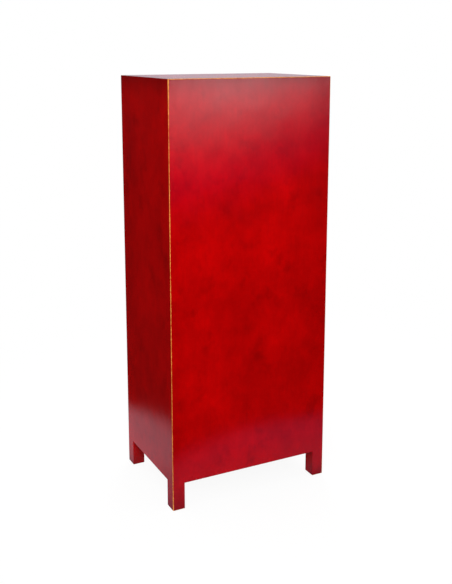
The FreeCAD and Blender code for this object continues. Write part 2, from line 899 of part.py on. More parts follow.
def nodes():
    """Every piece of the cabinet by its name."""
    form = outer_form()
    pieces = {
        "top_frame_front": top_frame_front(form),
        "top_frame_back": top_frame_back(form),
        "top_panel": tongued(top_panel_space, "z", ("x", "y")),
        "bottom_rail_front": front_rail(),
        "bottom_rail_back": back_rail(),
        "middle_rail": middle_rail(),
        "drawer_divider": drawer_divider(),
        "bottom_board": bottom_board(),
        "compartment_floor": compartment_floor(),
        "shelf_cleats": shelf_cleats(),
        "drawer_side_runners": side_runners(),
        "drawer_middle_runner": middle_runner(),
        "back_panel": tongued(back_panel_space, "y", ("x", "z")),
        "front_apron": front_apron(),
        "apron_brackets": apron_brackets(),
        "hinge_post_leaves": post_leaves(),
        "hinge_pins": hinge_pins(),
    }
    for name, share in zip(("shelf_lower", "shelf_upper"), shelf_height_shares):
        pieces[name] = shelf(share)
    paired = {
        "post_front_{}": front_post(form),
        "post_back_{}": back_post(form),
        "top_frame_{}": top_frame_right(form),
        "bottom_rail_{}": side_rail(),
        "side_panel_{}": tongued(side_panel_space, "x", ("y", "z")),
        "door_{}_hinge_stile": hinge_stile(),
        "door_{}_lock_stile": lock_stile(),
        "door_{}_rails": door_rails(),
        "door_{}_panel": door_panel(),
        "door_{}_hinge_leaves": door_leaves(),
        "door_{}_face_plate": face_plate(),
        "door_{}_eyes": door_eyes(),
        "door_{}_pull": door_pull(),
        "drawer_{}_front": drawer_front(),
        "drawer_{}_sides": drawer_sides(),
        "drawer_{}_back": drawer_back(),
        "drawer_{}_bottom": drawer_bottom(),
        "drawer_{}_plate": drawer_plate(),
        "drawer_{}_eye": drawer_eye(),
        "drawer_{}_ring": drawer_ring(),
    }
    for name, right_piece in paired.items():
        pieces[name.format("right")] = right_piece
        pieces[name.format("left")] = mirrored(right_piece)
    return pieces


def main():
    os.makedirs("parts", exist_ok=True)
    for name, shape in nodes().items():
        shape.exportStep(os.path.join("parts", name + ".step"))
        print(name, len(shape.Solids), "valid", shape.isValid(), "volume", round(shape.Volume))


main()
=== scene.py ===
import math

import bmesh
import bpy
from mathutils import Matrix, Vector


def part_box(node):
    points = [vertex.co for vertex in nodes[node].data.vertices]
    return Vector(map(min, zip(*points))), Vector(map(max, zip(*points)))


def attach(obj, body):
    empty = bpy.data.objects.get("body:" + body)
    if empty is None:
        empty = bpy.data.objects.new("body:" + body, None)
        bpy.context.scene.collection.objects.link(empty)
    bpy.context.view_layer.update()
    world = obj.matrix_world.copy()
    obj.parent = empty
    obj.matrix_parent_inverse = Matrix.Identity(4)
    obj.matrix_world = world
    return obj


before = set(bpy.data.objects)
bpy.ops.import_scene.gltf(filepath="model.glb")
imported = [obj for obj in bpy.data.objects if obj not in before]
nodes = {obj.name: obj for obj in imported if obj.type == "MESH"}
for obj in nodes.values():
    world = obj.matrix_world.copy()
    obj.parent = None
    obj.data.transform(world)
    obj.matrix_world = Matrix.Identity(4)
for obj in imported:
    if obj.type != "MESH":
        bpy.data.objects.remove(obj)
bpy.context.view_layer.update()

# A tall wedding cabinet in red lacquer, seen from behind: finishes, brass details, studio and camera.
# Metres. The doors face -Y, +X is the right of someone who faces them, and the floor is at Z = 0.

mm = 0.001

# Places read from the frame. What is drawn for the right side is mirrored for the left one.

case_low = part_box("post_front_left")[0]
case_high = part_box("top_frame_right")[1]
door_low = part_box("door_right_lock_stile")[0]
door_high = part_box("door_right_hinge_stile")[1]
door_panel_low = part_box("door_right_panel")[0]
drawer_low, drawer_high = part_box("drawer_right_front")
behind_drawer = drawer_high + Vector((0, drawer_high.y - drawer_low.y, 0))
face_plate_low, face_plate_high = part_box("door_right_face_plate")
drawer_plate_low, drawer_plate_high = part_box("drawer_right_plate")
front_face = case_low.y
leg_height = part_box("bottom_rail_right")[0].z
panel_tongue = 8 * mm               # of a door's panel, hidden in the groove of its frame

# Sizes of the finish

closed_depth = 7 * mm               # how far in from the outer faces the brush went
opening_depth = 26 * mm             # behind the front face, in the openings of doors and drawers
door_depth = 23 * mm
drawer_depth = 19 * mm
drawer_edge_depth = 2 * mm          # round the inner faces of the drawer fronts
corner_wear_width = 1.6 * mm        # gold rubbed bare along the upright corners
back_edge_wear_width = 1.4 * mm     # along the top edges of back and front
side_edge_wear_width = 0.5 * mm     # along the top edges of the sides
leaf_wear_width = 1.2 * mm          # round doors and drawer fronts
end_wear_length = 180 * mm          # the corners are rubbed wider this near their ends
end_wear = 0.7                      # by how much, as a share of the width
wear_run = 110 * mm                 # between wider and narrower stretches of wear
chip_size = 7 * mm
end_shade_length = 110 * mm         # the colour is darker this near the top and the feet
end_shade = 0.68                    # share of the dark colour at the very edge
cloud_size = 230 * mm               # of the largest clouds in the film
thick_patch_size = 75 * mm
brush_streak_width = 7 * mm         # a coarse brush, drawn wide enough to show
film_wave_length = 90 * mm
film_relief = 0.06 * mm
brush_end_fade = 1.2 * mm           # how softly the film ends on bare wood
brush_end_ragged = 2 * mm
board_width = 112 * mm              # of the boards glued up to panels
figure_size = 60 * mm               # of the waves in the growth rings
rings_per_wave = 17
pore_spacing = 1.5 * mm
stain_size = 180 * mm
pore_depth = 0.12 * mm
wood_roughness = 0.72
seam_width = 0.9 * mm               # crack between a door's panel and frame, drawn wide enough to show

# Sizes of the brass details

patina_size = 22 * mm
dent_spacing = 7 * mm
speck_size = 2.5 * mm
dent_depth = 0.35 * mm
nail_places = ((0.45, 0.28), (0.45, -0.28), (0.78, 0))      # shares of a leaf's width and height
nail_radius = 3.0 * mm
nail_rise = 1.5 * mm
plate_nail_radius = 2.6 * mm
plate_nail_rise = 1.4 * mm
plate_thickness = 1.6 * mm
plate_nails = 8
bead_width = 2.2 * mm
bead_rise = 0.9 * mm
bead_share = 0.84                   # where the bead runs, as a share of its plate's radius
nail_ring_share = 0.69              # where the nails sit on the face plate
collar_radius = 4.6 * mm            # small dome under each eye
collar_rise = 1.0 * mm
lock_eye_x = 9 * mm
pull_eye_x = 34 * mm
hinge_height = 66 * mm
hinge_leaf_width = 34 * mm
hinge_leaf_thickness = 2 * mm
hinge_pin_radius = 2 * mm
hinge_pin_rise = 1.5 * mm
hinge_height_shares = (0.13, 0.87)  # of the door's height
hinge_gap = 2 * mm
cap_radius = 3.0 * mm               # of the pins' caps
cap_height = 2.4 * mm
clench_length = 15 * mm             # of a split pin's legs, bent over inside
clench_width = 3.2 * mm
clench_thickness = 0.9 * mm
clench_edge = 0.35 * mm
round_steps = 28
dome_steps = 5
bead_steps = 6

# Camera, from the photograph's corners

camera_place = Vector((1.4950, 2.9812, 1.7039))
camera_azimuth = 153.17
camera_elevation = 10.62
camera_lens = 53.32
camera_sensor = 36
camera_shift = -0.1404


def shade(code):
    """Linear colour of an sRGB hex code."""
    channels = [int(code[place:place + 2], 16) / 255 for place in (1, 3, 5)]
    return tuple(c / 12.92 if c <= 0.04045 else ((c + 0.055) / 1.055) ** 2.4 for c in channels) + (1,)


def add(tree, kind, inputs, output=0, **settings):
    """Adds a node with its settings. Its inputs are values or the outputs of other nodes."""
    made = tree.nodes.new("ShaderNode" + kind)
    for name, value in settings.items():
        setattr(made, name, value)
    for key, value in inputs.items():
        if isinstance(value, bpy.types.NodeSocket):
            tree.links.new(value, made.inputs[key])
        else:
            made.inputs[key].default_value = value
    return made.outputs[output] if made.outputs else made


def new_material(name):
    """An empty material with its node tree, and the object coordinates that its patterns use."""
    material = bpy.data.materials.new(name)
    material.use_nodes = True
    tree = material.node_tree
    tree.nodes.clear()
    return material, tree, add(tree, "TexCoord", {}, output=3)


def finish_material(tree, surface):
    """Ends a material with its surface."""
    add(tree, "OutputMaterial", {0: surface})


# Bare wood: planed softwood, glued up from boards, gone yellow brown with age

def wood_grain(tree, place, along, across):
    """Colour and height of boards that run along one axis and lie side by side across another."""
    stretch = [0.07 if axis == along else 1 for axis in "xyz"]
    fibre_stretch = [0.02 if axis == along else 1 for axis in "xyz"]
    side = add(tree, "SeparateXYZ", {0: place}, output="xyz".index(across))
    boards = add(tree, "Math", {0: side, 1: 1 / board_width}, operation="MULTIPLY")
    board = add(tree, "Math", {0: boards}, operation="FLOOR")
    within = add(tree, "Math", {0: boards}, operation="FRACT")
    edge = add(tree, "Math", {0: within, 1: 0.5}, operation="SUBTRACT")
    edge = add(tree, "Math", {0: edge}, operation="ABSOLUTE")
    joint = add(tree, "MapRange", {0: edge, 1: 0.493, 2: 0.498})
    tone = add(tree, "TexWhiteNoise", {1: board}, noise_dimensions="1D")
    stretched = add(tree, "VectorMath", {0: place, 1: stretch}, operation="MULTIPLY")
    figure = add(tree, "TexNoise", {
        "Vector": stretched, "W": board, "Scale": 1 / figure_size, "Detail": 2, "Distortion": 0.4},
        noise_dimensions="4D")
    rings = add(tree, "Math", {0: figure, 1: rings_per_wave}, operation="MULTIPLY")
    rings = add(tree, "Math", {0: rings, 1: 1}, operation="PINGPONG")
    late_wood = add(tree, "MapRange", {0: rings, 1: 0.35, 2: 0.95}, interpolation_type="SMOOTHSTEP")
    fibres = add(tree, "VectorMath", {0: place, 1: fibre_stretch}, operation="MULTIPLY")
    pores = add(tree, "TexNoise", {"Vector": fibres, "Scale": 1 / pore_spacing, "Detail": 3})
    stain = add(tree, "TexNoise", {"Vector": place, "Scale": 1 / stain_size, "Detail": 3})
    colour = add(
        tree, "Mix", {0: late_wood, 6: shade("#BD915C"), 7: shade("#9B6E41")}, output=2, data_type="RGBA")
    board_share = add(tree, "Math", {0: tone, 1: 0.5}, operation="MULTIPLY")
    colour = add(tree, "Mix", {0: board_share, 6: colour, 7: shade("#A67A4B")}, output=2, data_type="RGBA")
    pore_share = add(tree, "MapRange", {0: pores, 1: 0.45, 2: 0.75, 4: 0.45})
    colour = add(tree, "Mix", {0: pore_share, 6: colour, 7: shade("#7A5330")}, output=2, data_type="RGBA")
    stain_share = add(tree, "MapRange", {0: stain, 1: 0.5, 2: 0.8, 4: 0.5})
    colour = add(tree, "Mix", {0: stain_share, 6: colour, 7: shade("#7A5636")}, output=2, data_type="RGBA")
    colour = add(tree, "Mix", {0: joint, 6: colour, 7: shade("#2E1D10")}, output=2, data_type="RGBA")
    relief = add(tree, "Math", {0: pores, 1: late_wood}, operation="ADD")
    relief = add(tree, "Math", {0: relief, 1: joint}, operation="SUBTRACT")
    return colour, relief


def bare_wood(name, along, across):
    """Planed softwood, dull, with growth rings, pores and glued joints."""
    material, tree, place = new_material(name)
    colour, relief = wood_grain(tree, place, along, across)
    normal = add(tree, "Bump", {"Height": relief, "Distance": pore_depth, "Strength": 0.8})
    finish_material(tree, add(tree, "BsdfPrincipled", {
        "Base Color": colour, "Roughness": wood_roughness, "Specular IOR Level": 0.3, "Normal": normal}))
    return material


# Red lacquer: brushed and rubbed down by hand, semi-gloss, over gilt ground that shows where
# edges are worn; the inner faces stay bare

def edge_distances(tree, place, low, high):
    """How far a point lies in from the faces of a box, in each direction, with left and right alike."""
    split = tree.nodes.new("ShaderNodeSeparateXYZ")
    tree.links.new(place, split.inputs[0])
    centre = (low + high) / 2
    half = (high - low) / 2
    distances = []
    for number in range(3):
        value = split.outputs[number]
        if number == 0:
            value = add(tree, "Math", {0: value}, operation="ABSOLUTE")
        offset = add(tree, "Math", {0: value, 1: centre[number]}, operation="SUBTRACT")
        offset = add(tree, "Math", {0: offset}, operation="ABSOLUTE")
        distances.append(add(tree, "Math", {0: half[number], 1: offset}, operation="SUBTRACT"))
    return distances, split.outputs[2]


def worn_edges(tree, place, distances, widths):
    """Where the lacquer is rubbed through, from 0 to 1, along the edges between pairs of faces."""
    nearest = None
    for (first, second), width in widths.items():
        reach = add(tree, "Math", {
            0: distances["xyz".index(first)], 1: distances["xyz".index(second)]}, operation="MAXIMUM")
        reach = add(tree, "Math", {0: reach, 1: 1 / width}, operation="MULTIPLY")
        if nearest is None:
            nearest = reach
        else:
            nearest = add(tree, "Math", {0: nearest, 1: reach}, operation="MINIMUM")
    long_run = add(tree, "TexNoise", {"Vector": place, "Scale": 1 / wear_run, "Detail": 2})
    chips = add(tree, "TexNoise", {
        "Vector": place, "Scale": 1 / chip_size, "Detail": 4, "Roughness": 0.6})
    spread = add(tree, "Math", {0: long_run, 1: 1.6}, operation="MULTIPLY")
    ragged = add(tree, "Math", {0: chips, 1: 0.8}, operation="MULTIPLY")
    reach = add(tree, "Math", {0: spread, 1: ragged}, operation="ADD")
    reach = add(tree, "Math", {0: reach, 1: 0.25}, operation="SUBTRACT")
    ends = add(tree, "MapRange", {0: distances[2], 1: end_wear_length, 2: 0, 4: end_wear},
               interpolation_type="SMOOTHSTEP")
    reach = add(tree, "Math", {0: reach, 1: ends}, operation="ADD")
    left = add(tree, "Math", {0: nearest, 1: reach}, operation="SUBTRACT")
    return add(tree, "MapRange", {0: left, 1: 0.12, 2: -0.12}, interpolation_type="SMOOTHSTEP"), chips


def door_seams(tree, distances, low, high):
    """The cracks where a door's flush panel and rails meet its stiles, from 0 to 1."""
    stile = door_panel_low.x + panel_tongue - low.x
    rail = door_panel_low.z + panel_tongue - low.z
    upright = add(tree, "Math", {0: distances[0], 1: stile}, operation="SUBTRACT")
    level = add(tree, "Math", {0: distances[2], 1: rail}, operation="SUBTRACT")
    beyond_stile = add(tree, "Math", {0: upright, 1: 0}, operation="GREATER_THAN")
    upright = add(tree, "Math", {0: upright}, operation="ABSOLUTE")
    level = add(tree, "Math", {0: level}, operation="ABSOLUTE")
    upright = add(tree, "MapRange", {0: upright, 1: seam_width, 2: 0.3 * seam_width})
    level = add(tree, "MapRange", {0: level, 1: seam_width, 2: 0.3 * seam_width})
    level = add(tree, "Math", {0: level, 1: beyond_stile}, operation="MULTIPLY")
    return add(tree, "Math", {0: upright, 1: level}, operation="MAXIMUM")


def red_lacquer(name, low, high, depths, along, across, widths, seams=False):
    """Semi-gloss red lacquer on the outer faces of a box of joinery, bare wood beyond the depths."""
    material, tree, place = new_material(name)
    distances, height = edge_distances(tree, place, low, high)

    # Cloudy film: clouds of every size down to specks, darker where it lies thick, faint brush streaks
    flowed = add(tree, "VectorMath", {0: place, 1: (1, 1, 0.8)}, operation="MULTIPLY")
    brushed = add(tree, "VectorMath", {0: place, 1: (1, 1, 0.1)}, operation="MULTIPLY")
    clouds = add(tree, "TexNoise", {
        "Vector": flowed, "Scale": 1 / cloud_size, "Detail": 7, "Roughness": 0.74})
    thick = add(tree, "TexNoise", {
        "Vector": flowed, "Scale": 1 / thick_patch_size, "Detail": 3, "Roughness": 0.6})
    streaks = add(tree, "TexNoise", {"Vector": brushed, "Scale": 1 / brush_streak_width, "Detail": 4})
    cloud_share = add(tree, "MapRange", {0: clouds, 1: 0.3, 2: 0.7})
    colour = add(
        tree, "Mix", {0: cloud_share, 6: shade("#990001"), 7: shade("#CC0102")}, output=2, data_type="RGBA")
    thick_share = add(tree, "MapRange", {0: thick, 1: 0.53, 2: 0.75, 4: 0.42},
                      interpolation_type="SMOOTHSTEP")
    colour = add(tree, "Mix", {0: thick_share, 6: colour, 7: shade("#7C0001")}, output=2, data_type="RGBA")
    streak_share = add(tree, "MapRange", {0: streaks, 1: 0.4, 2: 0.75, 4: 0.16})
    colour = add(tree, "Mix", {0: streak_share, 6: colour, 7: shade("#920001")}, output=2, data_type="RGBA")

    # Darker towards the top and the feet, and round the top face
    from_end = add(tree, "Math", {0: distances[0], 1: distances[1]}, operation="MINIMUM")
    from_end = add(tree, "Math", {0: from_end, 1: distances[2]}, operation="MAXIMUM")
    end_share = add(tree, "MapRange", {0: from_end, 1: 0, 2: end_shade_length, 3: 1, 4: 0})
    end_share = add(tree, "Math", {0: end_share, 1: 2}, operation="POWER")
    end_share = add(tree, "Math", {0: end_share, 1: end_shade}, operation="MULTIPLY")
    colour = add(tree, "Mix", {0: end_share, 6: colour, 7: shade("#6E0001")}, output=2, data_type="RGBA")
    roughness = add(tree, "MapRange", {0: streaks, 1: 0.3, 2: 0.7, 3: 0.11, 4: 0.16})

    if seams:
        crack = door_seams(tree, distances, low, high)
        crack_share = add(tree, "Math", {0: crack, 1: 0.65}, operation="MULTIPLY")
        colour = add(
            tree, "Mix", {0: crack_share, 6: colour, 7: shade("#3C0406")}, output=2, data_type="RGBA")

    # Gilt ground, rubbed bare at the edges
    worn, chips = worn_edges(tree, place, distances, widths)
    gilt_share = add(tree, "MapRange", {0: chips, 1: 0.3, 2: 0.65})
    gilt = add(
        tree, "Mix", {0: gilt_share, 6: shade("#CC6420"), 7: shade("#F5A64A")}, output=2, data_type="RGBA")
    colour = add(tree, "Mix", {0: worn, 6: colour, 7: gilt}, output=2, data_type="RGBA")
    roughness = add(tree, "Mix", {0: worn, 2: roughness, 3: 0.5})

    # Bare wood where the brush did not reach, except on the legs
    beyond = [add(tree, "Math", {0: distance, 1: depth}, operation="SUBTRACT")
              for distance, depth in zip(distances, depths)]
    depth_in = add(tree, "Math", {0: beyond[0], 1: beyond[1]}, operation="MINIMUM")
    depth_in = add(tree, "Math", {0: depth_in, 1: beyond[2]}, operation="MINIMUM")
    brush_end = add(tree, "Math", {0: streaks, 1: brush_end_ragged}, operation="MULTIPLY")
    depth_in = add(tree, "Math", {0: depth_in, 1: brush_end}, operation="ADD")
    bare = add(tree, "MapRange", {0: depth_in, 1: 0, 2: brush_end_fade})
    above_legs = add(tree, "Math", {0: height, 1: leg_height}, operation="GREATER_THAN")
    bare = add(tree, "Math", {0: bare, 1: above_legs}, operation="MULTIPLY")
    wood, relief = wood_grain(tree, place, along, across)
    colour = add(tree, "Mix", {0: bare, 6: colour, 7: wood}, output=2, data_type="RGBA")
    roughness = add(tree, "Mix", {0: bare, 2: roughness, 3: wood_roughness})

    # Film flows in slow waves; the chips at the edges lie lower
    waves = add(tree, "TexNoise", {"Vector": flowed, "Scale": 1 / film_wave_length, "Detail": 2})
    film = add(tree, "Math", {0: waves, 1: 12}, operation="MULTIPLY")
    film = add(tree, "Math", {0: film, 1: streaks}, operation="ADD")
    film = add(tree, "Math", {0: film, 1: worn}, operation="SUBTRACT")
    surface_height = add(tree, "Mix", {0: bare, 2: film, 3: relief})
    normal = add(tree, "Bump", {"Height": surface_height, "Distance": film_relief, "Strength": 0.7})
    finish_material(tree, add(tree, "BsdfPrincipled", {
        "Base Color": colour, "Roughness": roughness, "Normal": normal}))
    return material


# Aged brass: cast and hammered sheet, brown in the hollows, brighter where hands rub it

def aged_brass(name, colour_low, colour_high):
    """Brass with a brown patina in clouds, small hammer dents that stay dark, and specks."""
    material, tree, place = new_material(name)
    clouds = add(tree, "TexNoise", {
        "Vector": place, "Scale": 1 / patina_size, "Detail": 5, "Roughness": 0.6})
    specks = add(tree, "TexNoise", {"Vector": place, "Scale": 1 / speck_size, "Detail": 3})
    dents = add(tree, "TexVoronoi", {"Vector": place, "Scale": 1 / dent_spacing, "Smoothness": 1},
                feature="SMOOTH_F1")
    cloud_share = add(tree, "MapRange", {0: clouds, 1: 0.38, 2: 0.68})
    colour = add(
        tree, "Mix", {0: cloud_share, 6: shade(colour_high), 7: shade(colour_low)}, output=2,
        data_type="RGBA")
    hollow_share = add(tree, "MapRange", {0: dents, 1: 0.25, 2: 0.55, 3: 0.35, 4: 0})
    colour = add(tree, "Mix", {0: hollow_share, 6: colour, 7: shade("#6E4A1E")}, output=2, data_type="RGBA")
    speck_share = add(tree, "MapRange", {0: specks, 1: 0.55, 2: 0.8, 4: 0.6})
    colour = add(tree, "Mix", {0: speck_share, 6: colour, 7: shade("#46301A")}, output=2, data_type="RGBA")
    roughness = add(tree, "MapRange", {0: clouds, 1: 0.3, 2: 0.7, 3: 0.25, 4: 0.5})
    metal = add(tree, "MapRange", {0: clouds, 1: 0.35, 2: 0.7, 3: 0.8, 4: 0.35})
    relief = add(tree, "Math", {0: specks, 1: 0.4}, operation="MULTIPLY")
    relief = add(tree, "Math", {0: dents, 1: relief}, operation="ADD")
    normal = add(tree, "Bump", {"Height": relief, "Distance": dent_depth, "Strength": 0.8})
    finish_material(tree, add(tree, "BsdfPrincipled", {
        "Base Color": colour, "Metallic": metal, "Roughness": roughness, "Normal": normal}))
    return material


def coat(names, material):
    """Gives CAD nodes their material."""
    for name in names:
        for place in nodes[name].material_slots:
            place.material = material


def both(*names):
    """The names of a left and a right piece."""
    return [name.format(side) for name in names for side in ("left", "right")]


case_wear = {"xy": corner_wear_width, "yz": back_edge_wear_width, "xz": side_edge_wear_width}
leaf_wear = {"xy": leaf_wear_width, "yz": leaf_wear_width}

closed_depths = (closed_depth, closed_depth, closed_depth)
front_depths = (closed_depth, opening_depth, closed_depth)

coat(both("post_front_{}") + ["drawer_divider"], red_lacquer(
    "red_lacquer_front_posts", case_low, case_high, front_depths, "z", "x", case_wear))
coat(both("post_back_{}"), red_lacquer(
    "red_lacquer_back_posts", case_low, case_high, closed_depths, "z", "x", case_wear))
coat(both("side_panel_{}"), red_lacquer(
    "red_lacquer_side_panels", case_low, case_high, closed_depths, "z", "y", case_wear))
coat(["back_panel"], red_lacquer(
    "red_lacquer_back_panel", case_low, case_high, closed_depths, "z", "x", case_wear))
coat(["top_panel"], red_lacquer(
    "red_lacquer_top_panel", case_low, case_high, closed_depths, "x", "y", case_wear))
coat(["top_frame_front", "bottom_rail_front", "middle_rail", "front_apron", "apron_brackets"], red_lacquer(
    "red_lacquer_front_rails", case_low, case_high, front_depths, "x", "z", case_wear))
coat(["top_frame_back", "bottom_rail_back"], red_lacquer(
    "red_lacquer_back_rails", case_low, case_high, closed_depths, "x", "z", case_wear))
coat(both("top_frame_{}", "bottom_rail_{}"), red_lacquer(
    "red_lacquer_side_rails", case_low, case_high, closed_depths, "y", "z", case_wear))
coat(both("door_{}_hinge_stile", "door_{}_lock_stile", "door_{}_panel"), red_lacquer(
    "red_lacquer_doors", door_low, door_high, (door_depth,) * 3, "z", "x", leaf_wear, seams=True))
coat(both("door_{}_rails"), red_lacquer(
    "red_lacquer_door_rails", door_low, door_high, (door_depth,) * 3, "x", "z", leaf_wear, seams=True))
coat(both("drawer_{}_front"), red_lacquer(
    "red_lacquer_drawer_fronts", drawer_low, behind_drawer,
    (drawer_edge_depth, drawer_depth, drawer_edge_depth), "x", "z", leaf_wear))

coat(["bottom_board", "compartment_floor", "shelf_lower", "shelf_upper"], bare_wood(
    "bare_softwood_boards", "x", "y"))
coat(["shelf_cleats", "drawer_side_runners", "drawer_middle_runner"] + both("drawer_{}_sides"), bare_wood(
    "bare_softwood_runners", "y", "z"))
coat(both("drawer_{}_back"), bare_wood("bare_softwood_drawer_backs", "x", "z"))
coat(both("drawer_{}_bottom"), bare_wood("bare_softwood_drawer_bottoms", "x", "y"))

sheet_brass = aged_brass("aged_sheet_brass", "#9A682C", "#E8AE54")
worn_brass = aged_brass("aged_cast_brass", "#A87432", "#EEBA62")
coat(["hinge_post_leaves"] + both("door_{}_hinge_leaves", "door_{}_face_plate", "drawer_{}_plate"),
     sheet_brass)
coat(["hinge_pins"] + both("door_{}_eyes", "door_{}_pull", "drawer_{}_eye", "drawer_{}_ring"),
     worn_brass)


# Brass details as meshes

def turned(mesh, outline, centre, facing):
    """Spins an outline of (radius, height) points into a round piece whose heights point one way."""
    side = facing.orthogonal().normalized()
    rim = [mesh.verts.new(centre + radius * side + height * facing) for radius, height in outline]
    edges = [mesh.edges.new(pair) for pair in zip(rim, rim[1:])]
    bmesh.ops.spin(
        mesh, geom=rim + edges, cent=centre, axis=facing, angle=2 * math.pi, steps=round_steps,
        use_merge=True)


def placed(name, mesh, body, material):
    """Makes the mesh an object that rides on a body."""
    bmesh.ops.remove_doubles(mesh, verts=mesh.verts, dist=0.01 * mm)
    bmesh.ops.recalc_face_normals(mesh, faces=mesh.faces)
    for face in mesh.faces:
        face.smooth = True
    data = bpy.data.meshes.new(name)
    mesh.to_mesh(data)
    mesh.free()
    data.materials.append(material)
    piece = bpy.data.objects.new(name, data)
    bpy.context.scene.collection.objects.link(piece)
    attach(piece, body)


def dome(radius, rise):
    """Outline of a shallow dome with a flat underside."""
    angles = [step / dome_steps * math.pi / 2 for step in range(1, dome_steps)]
    flank = [(radius * math.cos(angle), rise * math.sin(angle)) for angle in angles]
    return [(0, 0), (radius, 0)] + flank + [(0, rise)]


def bead(radius):
    """Outline of a raised bead with a flat underside, at a radius from the middle of its plate."""
    angles = [step / bead_steps * math.pi for step in range(bead_steps + 1)]
    flank = [(radius - bead_width / 2 * math.cos(angle), bead_rise * math.sin(angle)) for angle in angles]
    return flank + [flank[0]]


out_of_front = Vector((0, -1, 0))
upward = Vector((0, 0, 1))
door_height = door_high.z - door_low.z
hinge_levels = [door_low.z + share * door_height for share in hinge_height_shares]
hinge_x = door_high.x + hinge_gap / 2
hinge_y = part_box("hinge_pins")[0].y + hinge_pin_radius
leaf_face = front_face - hinge_leaf_thickness
plate_face = front_face - plate_thickness
plate_centre_z = (face_plate_low.z + face_plate_high.z) / 2
plate_radius = (face_plate_high.z - face_plate_low.z) / 2
drawer_middle_x = (drawer_plate_low.x + drawer_plate_high.x) / 2
drawer_plate_z = (drawer_plate_low.z + drawer_plate_high.z) / 2
drawer_plate_radius = (drawer_plate_high.x - drawer_plate_low.x) / 2
drawer_eye_z = (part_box("drawer_right_eye")[0].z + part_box("drawer_right_eye")[1].z) / 2


def hinge_nails(sign, direction):
    """Three domed nails on each leaf of one side, towards the post or towards the door."""
    mesh = bmesh.new()
    for level in hinge_levels:
        for out, up in nail_places:
            x = hinge_x + direction * out * hinge_leaf_width
            turned(mesh, dome(nail_radius, nail_rise),
                   Vector((sign * x, leaf_face, level + up * hinge_height)), out_of_front)
    return mesh


def pin_caps(sign):
    """A small cap on the top end of each hinge pin."""
    mesh = bmesh.new()
    for level in hinge_levels:
        top = Vector((sign * hinge_x, hinge_y, level + hinge_height / 2 + hinge_pin_rise))
        turned(mesh, dome(cap_radius, cap_height), top, upward)
    return mesh


def plate_beads(sign):
    """A raised bead round the face plate, parted where the doors meet."""
    mesh = bmesh.new()
    turned(mesh, bead(bead_share * plate_radius), Vector((0, plate_face, plate_centre_z)), out_of_front)
    cut = bmesh.ops.bisect_plane(
        mesh, geom=mesh.verts[:] + mesh.edges[:] + mesh.faces[:], dist=0.001 * mm,
        plane_co=(sign * face_plate_low.x, 0, 0), plane_no=(sign, 0, 0), clear_inner=True)
    rim = [item for item in cut["geom_cut"] if isinstance(item, bmesh.types.BMEdge)]
    bmesh.ops.holes_fill(mesh, edges=rim)
    return mesh


def plate_studs(sign):
    """The domed nails that hold half of the face plate, and the collars under its two eyes."""
    mesh = bmesh.new()
    for number in range(plate_nails):
        angle = (number + 0.5) * 2 * math.pi / plate_nails
        x = nail_ring_share * plate_radius * math.sin(angle)
        z = nail_ring_share * plate_radius * math.cos(angle)
        if x > 0:
            turned(mesh, dome(plate_nail_radius, plate_nail_rise),
                   Vector((sign * x, plate_face, plate_centre_z + z)), out_of_front)
    for x in (lock_eye_x, pull_eye_x):
        turned(mesh, dome(collar_radius, collar_rise),
               Vector((sign * x, plate_face, plate_centre_z)), out_of_front)
    return mesh


def drawer_studs(sign):
    """The collar under a drawer's eye and the bead round its plate."""
    mesh = bmesh.new()
    turned(mesh, dome(collar_radius, collar_rise),
           Vector((sign * drawer_middle_x, plate_face, drawer_eye_z)), out_of_front)
    turned(mesh, bead(bead_share * drawer_plate_radius),
           Vector((sign * drawer_middle_x, plate_face, drawer_plate_z)), out_of_front)
    return mesh


def clenched_legs(places, back):
    """The legs of split pins, bent over flat on the inner face, one pair for each place."""
    mesh = bmesh.new()
    for x, z in places:
        for side in (-1, 1):
            made = bmesh.ops.create_cube(mesh, size=1)["verts"]
            size = Matrix.Diagonal((clench_width, clench_thickness, clench_length, 1))
            middle = Vector((x, back + clench_thickness / 2, z + side * clench_length / 2))
            bmesh.ops.transform(mesh, matrix=Matrix.Translation(middle) @ size, verts=made)
    bmesh.ops.bevel(
        mesh, geom=mesh.edges[:], offset=clench_edge, affect="EDGES", segments=2, profile=0.5,
        material=-1)
    return mesh


for side, sign in (("left", -1), ("right", 1)):
    door = "door_" + side
    drawer = "drawer_" + side
    placed("hinge_nails_post_" + side, hinge_nails(sign, 1), "case", worn_brass)
    placed("hinge_nails_door_" + side, hinge_nails(sign, -1), door, worn_brass)
    placed("hinge_pin_caps_" + side, pin_caps(sign), "case", worn_brass)
    placed("face_plate_bead_" + side, plate_beads(sign), door, worn_brass)
    placed("face_plate_nails_" + side, plate_studs(sign), door, worn_brass)
    placed("drawer_studs_" + side, drawer_studs(sign), drawer, worn_brass)
    eyes = [(sign * lock_eye_x, plate_centre_z), (sign * pull_eye_x, plate_centre_z)]
    placed("door_clenches_" + side, clenched_legs(eyes, door_high.y), door, worn_brass)
    eyes = [(sign * drawer_middle_x, drawer_eye_z)]
    placed("drawer_clenches_" + side, clenched_legs(eyes, drawer_high.y), drawer, worn_brass)


# Studio: white paper, a pool of light painted on the floor, an oval screen behind the camera and one before
# the doors, and soft lamps

floor_span = 60
painted_pool_centre = (-0.36, -0.25, 0)
painted_pool_radius = 0.92                  # reflections see the floor painted bright within this circle
painted_pool_fade = 0.16
violet_start = -0.1                 # the painted pool turns violet between these places, towards the back
violet_end = 0.6
shadow_strength = 0.08
shadow_inner = 0.4                  # the shadow fades out between these distances from the pool's centre
shadow_outer = 1.8
core_share = 0.9                    # of a screen's radius, where its white light ends
ambient_light = 0.92
dark_room = 0.012                   # brightness of the room around, in reflections


def stage_piece(name, mesh, material):
    """Makes the mesh a piece of the studio."""
    data = bpy.data.meshes.new(name)
    mesh.to_mesh(data)
    mesh.free()
    data.materials.append(material)
    piece = bpy.data.objects.new(name, data)
    bpy.context.scene.collection.objects.link(piece)
    return piece


